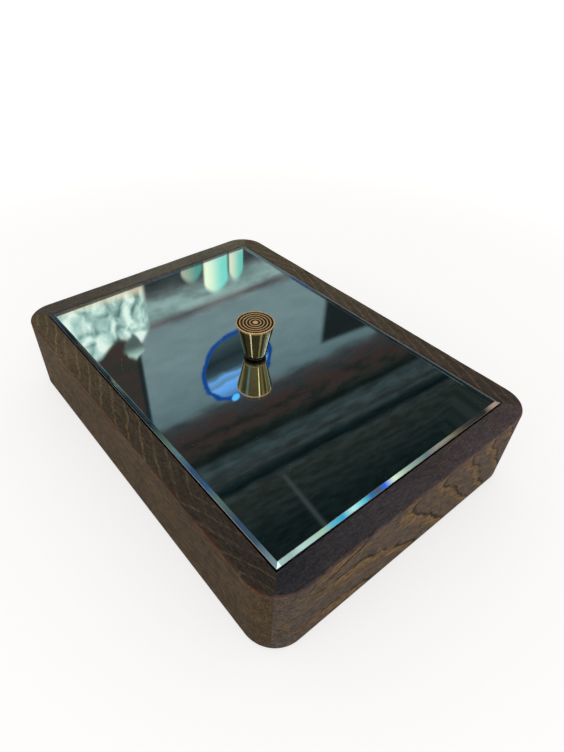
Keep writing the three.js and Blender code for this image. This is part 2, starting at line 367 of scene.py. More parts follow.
def stained_wood(name, side, seed, half_across, look):
    """Dark stained open-grained hardwood. The board's own X runs along it, and its outer face is to -Y."""
    paint = Paint(name)
    own = paint.coords.mapped(turn=(0, 0, -side))
    bent = own.noise((14, 50, 50), 2, 0.5, move=(seed, seed, 0)) * (6 * MM)
    swayed = paint.vector("ADD", own, paint.joined(0.0, bent, bent))
    grain = swayed.mapped(turn=(0, 0, math.radians(look["slant"])),
                          move=(seed * 0.37, seed * 0.013, seed * 0.021))
    x, y, z = paint.split(own.scaled(1 / MM))
    depth = y + half_across / MM
    drop = WOOD_TOP / MM - z
    flat_top = drop.band(0.15, 0.7, 1.0, 0.0)

    # growth rings: each ends in an ochre band and a dark line, and the next starts grey-brown
    wobble = own.noise((32, 80, 80), 3, 0.55, move=(0, seed, seed))
    ragged = own.noise((200, 520, 520), 4, 0.7, move=(seed, 0, 0))
    count = look["rings"](x, depth, drop) + wobble.between(-look["wobble"], look["wobble"])
    count = count + ragged.between(-look["ragged"], look["ragged"])
    within = count.fraction()
    contrast = flat_top.between(look["side_rings"], look["top_rings"])
    contrast = contrast * x.band(look["plain_end"], look["plain_end"] + 35)
    thread = (count * 4.3).fraction().window(0.45, 0.95, 0.22)
    early = within.band(look["early"], 0.84) * contrast * thread.between(0.45, 1.0)
    early = early * grain.noise((80, 1300, 1300), 3, 0.7).band(0.36, 0.54, 0.45, 1.0)
    early = paint.math("ADD", early, thread * contrast * look["threads"], clamp=True)
    broken = own.noise((120, 300, 300), 3, 0.6).band(0.34, 0.50)
    line = within.window(0.90, 1.02, 0.02) * contrast * broken * look["line"]

    # streaks and pores run along the grain and are thickest in the early wood, and calmer on the flat top
    fibre = grain.noise((140, 2600, 2600), 2, 0.5)
    hair = grain.noise((45, 520, 520), 3, 0.65)
    streak = grain.noise((20, 240, 240), 4, 0.65).band(0.48, 0.62)
    mottle = own.noise(look["mottle"], 4, 0.66)
    patch = own.noise((16, 40, 40), 4, 0.6, move=(seed, 0, 0))
    calm = flat_top.between(1.0, 0.35)
    pore = grain.noise((240, 1500, 1500), 2, 0.55).band(0.53, 0.61)
    pore = pore * early.between(0.6, 1.0) * calm.between(0.45, 1.0)

    veil, ochre = look["veil"], look["ochre"]
    tone = paint.mix(patch.band(0.36, 0.62), shade(veil, 0.80), shade(veil, 1.20))
    # painted light: the board is paler towards one end, a painted fall-off of light along it, as from a window
    # at that end
    tone = tone.scaled(x.band(-150, 150, look["painted_light_fade"], 2 - look["painted_light_fade"]))
    plain = paint.mix(flat_top, mottle.band(0.42, 0.56), mottle.band(0.10, 0.55))
    tone = paint.mix(plain, paint.mix(1.0, tone, look["fleck"], "MULTIPLY"), tone)
    streak = streak * look["streaks"] * calm
    stain = paint.math("ADD", early * hair.band(0.30, 0.54, 0.40, 1.0), streak, clamp=True)
    tone = paint.mix(stain, tone, paint.mix(hair, shade(ochre, 0.60), shade(ochre, 1.40)))
    glint = within.window(0.68, 0.90, 0.06) * contrast * hair.band(0.40, 0.56)
    tone = paint.mix(glint * patch * look["line"], tone, shade(ochre, 1.7))
    tone = paint.mix(hair.band(0.50, 0.62) * calm * 0.55, tone, shade(veil, 0.40))
    tone = paint.mix(fibre.band(0.46, 0.62) * calm.between(0.35, 0.6), tone, shade(veil, 1.9))
    tone = tone.scaled(own.noise((700, 1300, 1300), 2, 0.6).band(0.36, 0.64, 0.74, 1.26))
    tone = paint.mix(line, tone, DARK_LINE)
    tone = paint.mix(pore * 0.85, tone, OPEN_PORE)
    # painted shade and sheen: the flat top is dimmed from one end to the other and tinted bluish, partly a stain
    # difference, partly painted shade where little light falls and a painted sheen of a blue-grey room
    top_shade_sheen_tone = paint.mix(x.band(-look["reach"], look["reach"]), *look["top_stain_shade_sheen"])
    tone = paint.dimmed(flat_top, tone, top_shade_sheen_tone)

    # wear on the arrises: stain gone through to red-brown, and to bare wood where it is worst; on the short
    # boards the grey-purple arris colour is partly a painted glint along the arris
    wear_and_glint = paint.attribute("wear").band(0.55, 0.95) * own.noise(90, 4, 0.65).band(0.40, 0.56)
    tone = paint.mix(wear_and_glint * 0.8, tone, look["arris_wear_and_glint"])
    tone = paint.mix(wear_and_glint * own.noise(260, 3, 0.6).band(0.58, 0.66) * 0.6, tone, BARE_WOOD)

    rough = paint.math("ADD", fibre.band(0.2, 0.8, 0.42, 0.54), pore * 0.25, clamp=True)
    paint.set(Base_Color=tone, Roughness=rough - wear_and_glint * 0.18, Specular_IOR_Level=0.28)
    paint.set_bump(pore * -1.0 + fibre * 0.22 - line * 0.7 + hair * 0.5, 0.16 * MM, 0.9)
    return paint.material


def pale_wood(name, light, dark, along=(20, 500, 500)):
    """Unfinished wood: plywood face, splines."""
    paint = Paint(name)
    grain = paint.coords.noise(along, 4, 0.6)
    wide = paint.coords.noise((along[0] * 0.2, along[1] * 0.12, along[2] * 0.12), 3)
    pore = paint.coords.noise((90, 1700, 1700), 2).band(0.6, 0.7)
    tone = paint.mix(grain.band(0.3, 0.7), light, dark)
    tone = paint.mix(wide.band(0.35, 0.65), tone, shade(dark, 0.8))
    tone = paint.mix(pore * 0.6, tone, shade(dark, 0.3))
    paint.set(Base_Color=tone, Roughness=grain.band(0.2, 0.8, 0.62, 0.78))
    paint.set_bump(grain - pore, 0.10 * MM, 0.6)
    return paint.material


def fibreboard():
    paint = Paint("sanded_fibreboard")
    fleck = paint.coords.noise(2600, 3, 0.7)
    cloud = paint.coords.noise(45, 3, 0.55)
    strand = paint.coords.noise((500, 1800, 900), 3, 0.6, turn=(0, 0, 0.6))
    tone = paint.mix(fleck.band(0.3, 0.7), (0.13, 0.080, 0.048), (0.26, 0.175, 0.110))
    tone = paint.mix(strand.band(0.6, 0.75), tone, (0.36, 0.26, 0.17))
    tone = paint.dimmed(cloud.band(0.3, 0.7), tone, (0.78, 0.76, 0.74))
    paint.set(Base_Color=tone, Roughness=fleck.band(0.2, 0.8, 0.72, 0.86))
    paint.set_bump(fleck, 0.06 * MM, 0.7)
    return paint.material


def felt(name, low, high):
    """Pressed wool: tangled short fibres, soft light at its edges."""
    paint = Paint(name)
    tangle = paint.coords.noise(1500, 5, 0.7, 1.2)
    hair = paint.made("TexVoronoi", "Distance", {"feature": "DISTANCE_TO_EDGE"},
                      Vector=paint.coords, Scale=900.0)
    tone = paint.mix(tangle.band(0.3, 0.7), low, high)
    tone = paint.dimmed(paint.coords.noise(35, 4, 0.6).band(0.35, 0.7), tone, (0.72, 0.73, 0.76))
    lint = paint.coords.noise(700, 2, 0.5).band(0.72, 0.78)
    tone = paint.mix(lint * 0.4, tone, shade(high, 4))
    paint.set(Base_Color=tone, Roughness=tangle.band(0.2, 0.8, 0.86, 1.0))
    paint.set(Sheen_Weight=0.35, Sheen_Roughness=0.45, Specular_IOR_Level=0.15)
    paint.set_bump(tangle + hair * 1.5, 0.25 * MM, 0.8)
    return paint.material


def rubber():
    paint = Paint("black_rubber")
    grit = paint.coords.noise(3500, 3, 0.6)
    dust = paint.coords.noise(500, 4, 0.6).band(0.55, 0.75)
    tone = paint.mix(dust * 0.3, (0.010, 0.010, 0.011), (0.055, 0.052, 0.048))
    paint.set(Base_Color=tone, Roughness=grit.band(0.2, 0.8, 0.26, 0.44))
    paint.set_bump(grit, 0.02 * MM, 0.5)
    return paint.material


def nylon():
    paint = Paint("natural_nylon")
    mottle = paint.coords.noise(900, 3, 0.5)
    tone = paint.mix(mottle, (0.62, 0.60, 0.53), (0.76, 0.74, 0.67))
    paint.set(Base_Color=tone, Roughness=mottle.band(0.2, 0.8, 0.42, 0.55))
    paint.set_bump(mottle, 0.03 * MM, 0.4)
    return paint.material


def steel():
    """Zinc-plated steel, turned: fine rings, a faint yellow cast."""
    paint = Paint("plated_steel")
    spots = paint.coords.noise(700, 4, 0.6)
    tone = paint.mix(spots.band(0.35, 0.7), (0.56, 0.56, 0.54), (0.42, 0.41, 0.37))
    paint.set(Base_Color=tone, Metallic=1.0, Roughness=spots.band(0.3, 0.7, 0.22, 0.42))
    paint.set_bump(paint.turning_marks(9000, 2, 0.5), 0.02 * MM, 0.5)
    return paint.material


def antique_brass():
    """Turned brass with a brown patina that stays in the grooves and rubs off the ridges."""
    paint = Paint("antique_brass")
    cloud = paint.coords.noise(260, 4, 0.6)
    spots = paint.coords.noise(1300, 3, 0.6).band(0.58, 0.72)
    groove = paint.attribute("patina")
    top = paint.attribute("top")
    flank = paint.mix(cloud.band(0.3, 0.7), (0.60, 0.50, 0.22), (0.50, 0.41, 0.165))
    crest = paint.mix(cloud.band(0.40, 0.60), (1.0, 0.68, 0.30), (0.86, 0.53, 0.21))
    tone = paint.mix(top, flank, crest)
    tone = paint.mix(spots * 0.35, tone, (0.20, 0.12, 0.05))
    tone = paint.mix(groove * 0.97, tone, (0.012, 0.006, 0.003))
    rough = cloud.band(0.25, 0.75, 0.075, 0.11) + top * 0.18 + groove * 0.30
    paint.set(Base_Color=tone, Metallic=top.between(1.0, 0.25), Roughness=rough)
    paint.set_bump(paint.turning_marks(7000, 3, 0.6), 0.0012 * MM, 0.4)
    return paint.material


def clear_glass():
    """Float glass, faintly green, with a few wiped smears and specks of dust."""
    paint = Paint("clear_glass")
    smear = paint.coords.noise((14, 40, 14), 4, 0.6, 0.8, turn=(0, 0, 0.5))
    specks = paint.coords.noise(1100, 1, 0.3).band(0.80, 0.83)
    paint.set(Base_Color=(0.955, 0.985, 0.975), Transmission_Weight=1.0, IOR=GLASS_IOR)
    paint.set(Roughness=smear.band(0.55, 0.85, 0.0, 0.045) + specks * 0.35)
    return paint.material


def bevel_glass():
    """The polished bevel, which throws back more light than the flat glass, most along the front."""
    paint = Paint("bevel_glass")
    x, y, z = paint.split(paint.coords)
    inner_line = BEVEL_WIDTH - glass_high.y
    front = y.band(inner_line, inner_line + 0.5 * MM, 0.88, 0.42)
    smear = paint.coords.noise((20, 20, 20), 3, 0.6)
    paint.set(Base_Color=(0.93, 0.97, 0.96), Transmission_Weight=1.0, IOR=GLASS_IOR, Metallic=front)
    paint.set(Roughness=smear.band(0.4, 0.8, 0.012, 0.035))
    return paint.material


def silvering():
    paint = Paint("silvering")
    cloud = paint.coords.noise(30, 3, 0.5)
    tone = paint.mix(cloud, (0.80, 0.84, 0.83), (0.84, 0.87, 0.86))
    paint.set(Base_Color=tone, Metallic=1.0, Roughness=cloud.band(0.3, 0.7, 0.012, 0.02))
    return paint.material


# ---- wooden frame
ARRIS = 1.5 * MM
ARC_STEPS = 14
STRAIGHT_STEP = 2.0 * MM
MITRE_LINE = 0.02 * MM


def board_profile(wear_radius):
    """Section of a board as (depth from the outer face, height, square corners?, wear), once round."""
    top, low = WOOD_TOP, WOOD_BOTTOM
    groove, roof, ground = WALL - GROOVE_DEPTH, panel_high.z + GLUE, panel_low.z - GLUE
    points = []

    def arc(depth, height, radius, first, last, steps, square, wear):
        for i in range(steps + 1):
            angle = math.radians(first + (last - first) * i / steps)
            points.append((depth + radius * math.cos(angle), height + radius * math.sin(angle), square, wear))

    def line(square, *marks):
        points.extend((depth, height, square, wear) for depth, height, wear in marks)

    line(False, (0, low + 8 * MM, 0), (0, (low + top) / 2, 0), (0, top - 8 * MM, 0))
    line(False, (0, top - 4.5 * MM, 0), (0, top - 2.2 * MM, 0.05))
    arc(wear_radius, top - wear_radius, wear_radius, 180, 90, 6, False, 1.0)
    line(False, (1.5 * MM, top, 0.15), (2.2 * MM, top, 0.0), (5.5 * MM, top, 0.0), (8 * MM, top, 0.0))
    line(True, (RAIL - 1.6 * MM, top, 0.1))
    arc(RAIL - 0.45 * MM, top - 0.45 * MM, 0.45 * MM, 90, 0, 3, True, 0.75)
    line(True, (RAIL, top - 2 * MM, 0), (RAIL, LEDGE, 0))
    arc(WALL - 0.4 * MM, LEDGE - 0.4 * MM, 0.4 * MM, 90, 0, 2, True, 0.3)
    line(True, (WALL, (LEDGE + panel_high.z) / 2, 0), (WALL, roof, 0), (groove, roof, 0))
    line(True, (groove, ground, 0), (WALL, ground, 0))
    arc(WALL - 0.4 * MM, low + 0.4 * MM, 0.4 * MM, 0, -90, 2, True, 0.2)
    line(False, (WALL / 2, low, 0))
    arc(ARRIS, low + ARRIS, ARRIS, 270, 180, 5, False, 0.7)
    return points


def board_stations(half_along):
    """Places along a board's outer face from one mitre to the other, as (straight part, corner angle)."""
    straight = half_along - CORNER_RADIUS
    steps = round(2 * straight / STRAIGHT_STEP)
    angles = [math.pi / 4 * (1 - i / ARC_STEPS) for i in range(ARC_STEPS)]
    stations = [(-straight, -angle) for angle in angles]
    stations += [(-straight + 2 * straight * i / steps, 0.0) for i in range(steps + 1)]
    stations += [(straight, angle) for angle in reversed(angles)]
    return stations


def make_board(name, side, half_along, half_across, seed):
    """side turns the board, built along X on the -Y side, about Z."""
    turn = Matrix.Rotation(side, 4, "Z")
    rings, wear = [], []
    stations = board_stations(half_along)
    last = len(stations) - 1
    for index, (straight, angle) in enumerate(stations):
        along = straight + CORNER_RADIUS * angle
        nicks = noise.noise(Vector((along * 55 + seed * 9.1, seed, 0.3)))
        slow = noise.noise(Vector((along * 14 + seed * 4.3, 2.7, seed)))
        radius = ARRIS * (0.50 + 0.25 * nicks + 0.20 * slow)
        end = MITRE_LINE * ((index == 0) - (index == last))
        ring = []
        for depth, height, square, amount in board_profile(max(0.35 * MM, radius)):
            left = CORNER_RADIUS - depth
            if square:
                x = straight + left * math.sin(angle) / math.sin(math.pi / 4)
                y = half_across - depth
            else:
                x = straight + left * math.sin(angle)
                y = half_across - CORNER_RADIUS + left * math.cos(angle)
            ring.append(turn @ Vector((x + end, -y, height)))
            wear.append(amount)
        rings.append(ring)
    piece = make_object(name, *skin(rings[::-1], cap=True))
    set_attribute(piece, "wear", wear)
    mark_sharp(piece, 32)
    return piece


# How each board was cut and stained. early, line and the ring shares say how its rings show, and plain_end where
# they begin. One factor says how much paler it is at its start than its end, which is painted light falling off
# along it; slant says how its grain runs; and two tones say how its top differs from its sides, from start to
# end, partly in stain and partly as painted shade and a painted bluish sheen. The colour of its wear along the
# arrises is, on the short boards, partly a painted grey-purple glint.
LONG_BOARD = dict(
    rings=saddle_rings, wobble=0.35, ragged=0.05, early=0.74, line=0.0, side_rings=0.0, top_rings=0.8,
    threads=0.0, streaks=0.15, slant=1, mottle=(150, 420, 300), painted_light_fade=1.22, plain_end=-400, reach=145,
    veil=(0.100, 0.0625, 0.0262), ochre=(0.300, 0.170, 0.060), fleck=(0.48, 0.42, 0.36),
    arris_wear_and_glint=(0.100, 0.028, 0.012), top_stain_shade_sheen=((0.96, 1.12, 1.38), (0.40, 0.49, 0.84)),
)
SHORT_BOARD = dict(
    rings=flame_rings, wobble=0.24, ragged=0.05, early=0.46, line=0.95, side_rings=1.0, top_rings=0.10,
    threads=0.30, streaks=0.36, slant=-1.5, mottle=(90, 420, 420), painted_light_fade=0.88, plain_end=-92, reach=105,
    veil=(0.112, 0.083, 0.066), ochre=(0.300, 0.160, 0.034), fleck=(0.60, 0.57, 0.54),
    arris_wear_and_glint=(0.120, 0.068, 0.056), top_stain_shade_sheen=((0.27, 0.36, 0.57), (0.61, 0.61, 0.81)),
)
BACK_BOARD = LONG_BOARD | dict(slant=-2, painted_light_fade=1.0, top_stain_shade_sheen=((0.60, 0.68, 1.12), (0.92, 1.18, 1.62)))
LEFT_BOARD = SHORT_BOARD | dict(
    slant=2, painted_light_fade=1.12, plain_end=-400, top_stain_shade_sheen=((1.05, 1.35, 1.28), (0.78, 0.96, 1.0)),
)


def make_frame():
    boards = [
        ("front", 0, HALF_LENGTH, HALF_WIDTH, LONG_BOARD),
        ("right", 90, HALF_WIDTH, HALF_LENGTH, SHORT_BOARD),
        ("back", 180, HALF_LENGTH, HALF_WIDTH, BACK_BOARD),
        ("left", 270, HALF_WIDTH, HALF_LENGTH, LEFT_BOARD),
    ]
    for seed, (name, degrees, along, across, look) in enumerate(boards, 1):
        side = math.radians(degrees)
        piece = make_board(f"{name}_board_wood", side, along, across, seed)
        wood = stained_wood(f"stained_wood_{name}", side, seed, across, look)
        place(piece, wood, "box", f"{name}_board")


# ---- box fittings
def slab_rings(half_x, half_y, low, high, edge, steps, hole, rows):
    """Rings of a rectangular slab with softened edges and a round hole, up its side and over its faces."""
    inset = edge * (1 - math.sqrt(0.5))
    shell = [(0, low + edge), (0, high - edge), (inset, high - inset), (edge, high)]
    rings = [rectangle(half_x - d, half_y - d, z, steps) for d, z in shell]
    for z, order in ((high, range(1, rows + 1)), (low, range(rows, -1, -1))):
        outer = rectangle(half_x - edge, half_y - edge, z, steps)
        inner = circle(hole, z, steps)
        rings += [[a.lerp(b, row / rows) for a, b in zip(outer, inner)] for row in order]
    rings.append(rectangle(half_x - inset, half_y - inset, low + inset, steps))
    return rings


def grid_slab(name, low, high, cell, edge):
    """A closed slab whose two faces are fine grids, so that they can be moved by noise."""
    nx = round((high.x - low.x) / cell)
    ny = round((high.y - low.y) / cell)

    def spot(i, j, inset, z):
        x = low.x + inset + (high.x - low.x - 2 * inset) * i / nx
        y = low.y + inset + (high.y - low.y - 2 * inset) * j / ny
        return Vector((x, y, z))

    def at(layer, i, j):
        return (layer * (ny + 1) + j) * (nx + 1) + i

    border = [(i, 0) for i in range(nx)] + [(nx, j) for j in range(ny)]
    border += [(i, ny) for i in range(nx, 0, -1)] + [(0, j) for j in range(ny, 0, -1)]
    vertices = [spot(i, j, edge, z) for z in (low.z, high.z) for j in range(ny + 1) for i in range(nx + 1)]
    rim, count = len(vertices), len(border)
    vertices += [spot(i, j, 0, z) for z in (low.z + edge, high.z - edge) for i, j in border]
    faces = []
    for j in range(ny):
        for i in range(nx):
            cell_marks = [(i, j), (i + 1, j), (i + 1, j + 1), (i, j + 1)]
            faces.append([at(1, *mark) for mark in cell_marks])
            faces.append([at(0, *mark) for mark in reversed(cell_marks)])
    for k, here in enumerate(border):
        n = (k + 1) % count
        there = border[n]
        faces.append((at(0, *here), at(0, *there), rim + n, rim + k))
        faces.append((rim + k, rim + n, rim + count + n, rim + count + k))
        faces.append((rim + count + k, rim + count + n, at(1, *there), at(1, *here)))
    return make_object(name, vertices, faces)


def make_floor_liner(material):
    piece = grid_slab("floor_liner_felt", liner_low, liner_high, 2.5 * MM, 0.5 * MM)
    for vertex in piece.data.vertices:
        if vertex.co.z > liner_high.z - 0.1 * MM:
            sag, nap = noise.noise(vertex.co * 28), noise.noise(vertex.co * 300)
            vertex.co.z -= 0.12 * MM * (1 + sag) + 0.04 * MM * nap
    place(piece, material, "box", "floor_liner")


def round_pad(node, suffix, material, edge, amount, seed):
    """A pressed disc with rounded edges and slightly uneven faces."""
    low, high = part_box(node)
    centre = ((low.x + high.x) / 2, (low.y + high.y) / 2)
    radius = (high.x - low.x) / 2
    inset = edge * (1 - math.sqrt(0.5))
    half = [(0, 0), (radius * 0.35, 0), (radius * 0.7, 0), (radius - edge, 0)]
    half += [(radius - inset, inset), (radius, edge)]
    profile = [(r, low.z + d) for r, d in half] + [(r, high.z - d) for r, d in reversed(half)]
    piece = lathe(f"{node}_{suffix}", profile, 48, centre)
    offset = Vector((seed, seed * 0.5, 1.7))
    for vertex in piece.data.vertices:
        out = Vector((vertex.co.x - centre[0], vertex.co.y - centre[1], 0))
        ripple = noise.noise(vertex.co * 420 + offset)
        vertex.co -= out * amount * (0.5 + 0.5 * ripple)
    place(piece, material, "box", node)


def make_box_fittings(dark_felt, foot_felt, black):
    make_floor_liner(dark_felt)
    for seed, corner in enumerate(CORNERS, 1):
        round_pad(f"foot_{corner}", "felt", foot_felt, 0.35 * MM, 0.05, seed)
        round_pad(f"ledge_pad_{corner}", "rubber", black, 0.3 * MM, 0.01, seed + 10)
    dress("bottom_panel", pale_wood("plywood_face", (0.40, 0.27, 0.155), (0.27, 0.165, 0.085)))
    beech = pale_wood("beech_spline", (0.50, 0.34, 0.20), (0.38, 0.24, 0.13), along=(300, 300, 18))
    for corner in CORNERS:
        dress(f"mitre_spline_{corner}", beech)


# ---- lid
BEVEL_WIDTH = 2.6 * MM
BEVEL_DROP = 0.9 * MM
SILVER = 0.1 * MM
RING_STEPS = 96


def holed_plate(name, half_x, half_y, hole, outside, bore):
    """A plate with a round hole. outside and bore are (inset, height) up its edge and down the hole."""
    rings = [rectangle(half_x - inset, half_y - inset, z, RING_STEPS) for inset, z in outside]
    rings += [circle(hole + inset, z, RING_STEPS) for inset, z in bore]
    return make_object(name, *skin(rings, wrap=True), smooth=False)


def make_mirror():
    size = (glass_high.x, glass_high.y, bush_high.x + GLUE)
    top, low = glass_high.z, glass_low.z + SILVER
    seam = 0.12 * MM
    edge_top = top - BEVEL_DROP
    outside = [(seam, low), (0, low + seam), (0, edge_top - seam), (seam, edge_top + seam * 0.35)]
    outside += [(BEVEL_WIDTH - seam, top - seam * 0.3), (BEVEL_WIDTH + seam, top)]
    bore = [(seam, top), (0, top - seam), (0, low + seam), (seam, low)]
    glass = holed_plate("bevelled_glass", *size, outside, bore)
    place(glass, clear_glass(), "lid", "mirror_glass")
    glass.data.materials.append(bevel_glass())
    for polygon in glass.data.polygons:
        if 0.5 < polygon.normal.z < 0.99:
            polygon.material_index = 1
    inset = 0.3 * MM
    bottom, bitten = glass_low.z, low + 0.02 * MM
    outside, bore = [(inset, bottom), (inset, bitten)], [(inset, bitten), (inset, bottom)]
    coat = holed_plate("mirror_silvering", *size, outside, bore)
    place(coat, silvering(), "lid", "mirror_glass")


def make_backing(material):
    half, low = backing_high, backing_low.z
    rings = slab_rings(half.x, half.y, low, half.z, 0.4 * MM, RING_STEPS, SCREW_HOLE_RADIUS, 4)
    piece = make_object("backing_fibreboard", *skin(rings, wrap=True))
    mark_sharp(piece, 40)
    place(piece, material, "lid", "lid_backing_board")


def make_facing(material):
    hole = 8 * MM
    half, low = facing_high, facing_low.z
    rings = slab_rings(half.x, half.y, low, half.z, 0.3 * MM, 2 * RING_STEPS, hole, 40)
    piece = make_object("lid_facing_felt", *skin(rings, wrap=True))
    for vertex in piece.data.vertices:
        if vertex.co.z < low + 0.1 * MM:
            vertex.co.z += 0.10 * MM * (1 + noise.noise(vertex.co * 30)) * 0.5
    mark_sharp(piece, 50)
    place(piece, material, "lid", "lid_felt_facing")


def make_knob(material):
    """A tapered knob with ridges turned in its top. Its profile is (radius, height, patina, top mark)."""
    low, top = knob_low.z, knob_high.z
    base, crown = washer_high.x - 0.1 * MM, KNOB_TOP_RADIUS
    chamfer, lip = 0.25 * MM, 0.35 * MM
    pitch, inner_groove, depth = 2.16 * MM, 2.55 * MM, 0.65 * MM
    bore = SCREW_HOLE_RADIUS
    profile = [(0, low + 13 * MM, 1, 0), (bore, low + 12 * MM, 1, 0), (bore, low, 1, 0)]
    profile += [(base - chamfer, low, 0.6, 0), (base, low + chamfer, 0.35, 0)]
    rows = 14
    for row in range(1, rows):
        share = row / rows
        profile.append((base + (crown - base) * share, low + chamfer + (top - low - 0.9 * MM) * share, 0, 0))
    for step in range(7):
        angle = math.radians(-10 + 100 * step / 6)
        profile.append((crown - lip + lip * math.cos(angle), top - lip + lip * math.sin(angle), 0, 1))
    samples = 72
    start, boss = inner_groove + 4.45 * pitch, inner_groove - pitch / 2
    for step in range(1, samples):
        radius = start + (boss - start) * step / samples
        wave = 0.5 + 0.5 * math.cos(2 * math.pi * (radius - inner_groove) / pitch)
        sunk = wave ** 0.6
        profile.append((radius, top - depth * sunk, min(1.0, 1.5 * sunk), 1))
    profile += [(boss * 0.8, top, 0.1, 1), (boss * 0.4, top, 0, 1), (0, top - 0.02 * MM, 0, 1)]
    steps = 128
    piece = lathe("turned_knob", [(radius, z) for radius, z, _, _ in profile], steps)
    for column, name in ((2, "patina"), (3, "top")):
        values = [float(mark[column]) for mark in profile[1:-1] for _ in range(steps)]
        set_attribute(piece, name, values + [float(profile[0][column]), float(profile[-1][column])])
    mark_sharp(piece, 50)
    place(piece, material, "lid", "knob")


def ring_piece(name, node, material, edge):
    low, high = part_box(node)
    section = ring_section(SCREW_HOLE_RADIUS, high.x, low.z, high.z, edge)
    rings = [circle(radius, z, RING_STEPS) for radius, z in section]
    piece = make_object(name, *skin(rings, wrap=True))
    mark_sharp(piece, 40)
    place(piece, material, "lid", node)


def make_screw(material):
    """Pan-headed machine screw, head down, with a rolled thread and a cross recess."""
    seat = plate_low.z - GLUE / 2
    low, tip = screw_low.z, screw_high.z
    head = screw_high.x
    shank, pitch, thread = 1.9 * MM, 0.7 * MM, 0.22 * MM
    steps, crown = 48, 6
    profile = []
    for i in range(1, crown + 1):
        angle = math.pi / 2 * i / crown
        z = low + (seat - low) * 0.55 * (1 - math.cos(angle))
        profile.append((head * math.sin(angle) ** 0.9, z, False))
    profile += [(head, seat - 0.15 * MM, False), (head - 0.15 * MM, seat, False), (shank, seat, False)]
    rows = int((tip - seat) / pitch * 8)
    profile += [(shank, seat + (tip - seat) * row / rows, True) for row in range(1, rows + 1)]
    rings = []
    for radius, z, threaded in profile:
        ring = []
        for j in range(steps):
            angle = 2 * math.pi * j / steps
            r = radius
            if threaded:
                phase = (z / pitch - j / steps) % 1.0
                taper = min(1.0, (tip - z) / (1.2 * MM))
                r = shank - thread * (1 - abs(2 * phase - 1)) - (1 - taper) * 0.5 * MM
            ring.append(Vector((r * math.cos(angle), r * math.sin(angle), z)))
        rings.append(ring)
    # the recess: four arms sunk into the crown
    recess = 1.2 * MM
    for vertex in rings[0] + rings[1] + rings[2]:
        radius = math.hypot(vertex.x, vertex.y)
        arm = min(abs(vertex.x), abs(vertex.y))
        if arm < 0.42 * MM and radius < 2.3 * MM:
            vertex.z += recess * (1 - radius / (2.6 * MM))
    piece = closed_skin("pan_head_screw", rings, Vector((0, 0, low + recess)), Vector((0, 0, tip)))
    mark_sharp(piece, 35)
    place(piece, material, "lid", "knob_screw")


def make_lid(dark_felt, black):
    make_mirror()
    make_backing(fibreboard())
    make_facing(dark_felt)
    make_knob(antique_brass())
    ring_piece("knob_washer_ring", "knob_washer", black, 0.25 * MM)
    metal = steel()
    ring_piece("screw_washer_plate", "screw_washer", metal, 0.15 * MM)
    make_screw(metal)
    dress("glass_hole_bush", nylon())


# ---- studio
CAMERA_AT = Vector((0.2196, -0.1769, 0.2810))
HEADING = 140.86                # degrees from +X towards +Y
PITCH = 42.52                   # degrees below the horizon
ROLL = 0.86
LENS = 25.32
SHIFT = (0.034, 0.023)


def direction(azimuth, elevation):
    """Unit vector at azimuth degrees from +X towards +Y and elevation degrees above the horizon."""
    a, e = math.radians(azimuth), math.radians(elevation)
    return Vector((math.cos(e) * math.cos(a), math.cos(e) * math.sin(a), math.sin(e)))


def make_camera():
    forward = direction(HEADING, -PITCH)
    right = forward.cross(Vector((0, 0, 1))).normalized()
    up = right.cross(forward)
    roll = math.radians(ROLL)
    right, up = right * math.cos(roll) + up * math.sin(roll), up * math.cos(roll) - right * math.sin(roll)
    turn = Matrix((right, up, -forward)).transposed().to_4x4()
    data = bpy.data.cameras.new("camera")
    data.lens = LENS
    data.sensor_width = 36
    data.shift_x, data.shift_y = SHIFT
    data.clip_start, data.clip_end = 0.01, 50
    camera = bpy.data.objects.new("camera", data)
    camera.matrix_world = Matrix.Translation(CAMERA_AT) @ turn
    bpy.context.scene.collection.objects.link(camera)
    bpy.context.scene.camera = camera


def make_light(name, start, end, width, radiance, color=(1, 1, 1), aim=(0, 0, 0.04)):
    """A rectangular lamp whose long middle line runs from start to end, facing aim."""
    start, end = Vector(start), Vector(end)
    along = (end - start).normalized()
    middle = (start + end) / 2
    out = Vector(aim) - middle
    out = (out - along * out.dot(along)).normalized()
    across = along.cross(out)
    data = bpy.data.lights.new(name, "AREA")
    data.shape = "RECTANGLE"
    data.size = (end - start).length
    data.size_y = width
    data.energy = radiance * math.pi * data.size * data.size_y
    data.color = color
    light = bpy.data.objects.new(name, data)
    light.visible_glossy = False
    light.visible_transmission = False
    light.matrix_world = Matrix.Translation(middle) @ Matrix((along, -across, -out)).transposed().to_4x4()
    bpy.context.scene.collection.objects.link(light)


def make_lights():
    """Two soft boxes on the camera's side, low enough to light the box's sides, and a broad one overhead."""
    make_light("left_softbox", (-0.42, -1.45, 0.50), (0.32, -1.45, 0.50), 0.60, 1.9, (1.0, 0.98, 0.94))
    make_light("right_softbox", (1.48, -0.46, 0.52), (1.48, -0.08, 0.52), 0.62, 2.6, (1.0, 0.94, 0.84))
    make_light("overhead_softbox", (0.55, -0.75, 1.60), (1.05, 0.05, 1.60), 0.8, 1.0, (1.0, 0.98, 0.95))


def make_floor():
    size = 8.0
    corners = [Vector((x, y, 0)) for x, y in ((-size, -size), (size, -size), (size, size), (-size, size))]
    floor = make_object("floor", corners, [(0, 1, 2, 3)])
    paint = Paint("pale_floor")
    glow = paint.vector("LENGTH", paint.coords).band(0.35, 1.1, 0.63, 1.0)
    seen = paint.made("LightPath", "Is Camera Ray")
    paint.set(Base_Color=(0.50, 0.50, 0.50), Roughness=0.9, Specular_IOR_Level=0.0)
    paint.set(Emission_Color=(1, 1, 1), Emission_Strength=seen * glow)
    floor.data.materials.append(paint.material)


WALL_HEADING = 173              # degrees from +X towards +Y of the wall that the lid reflects


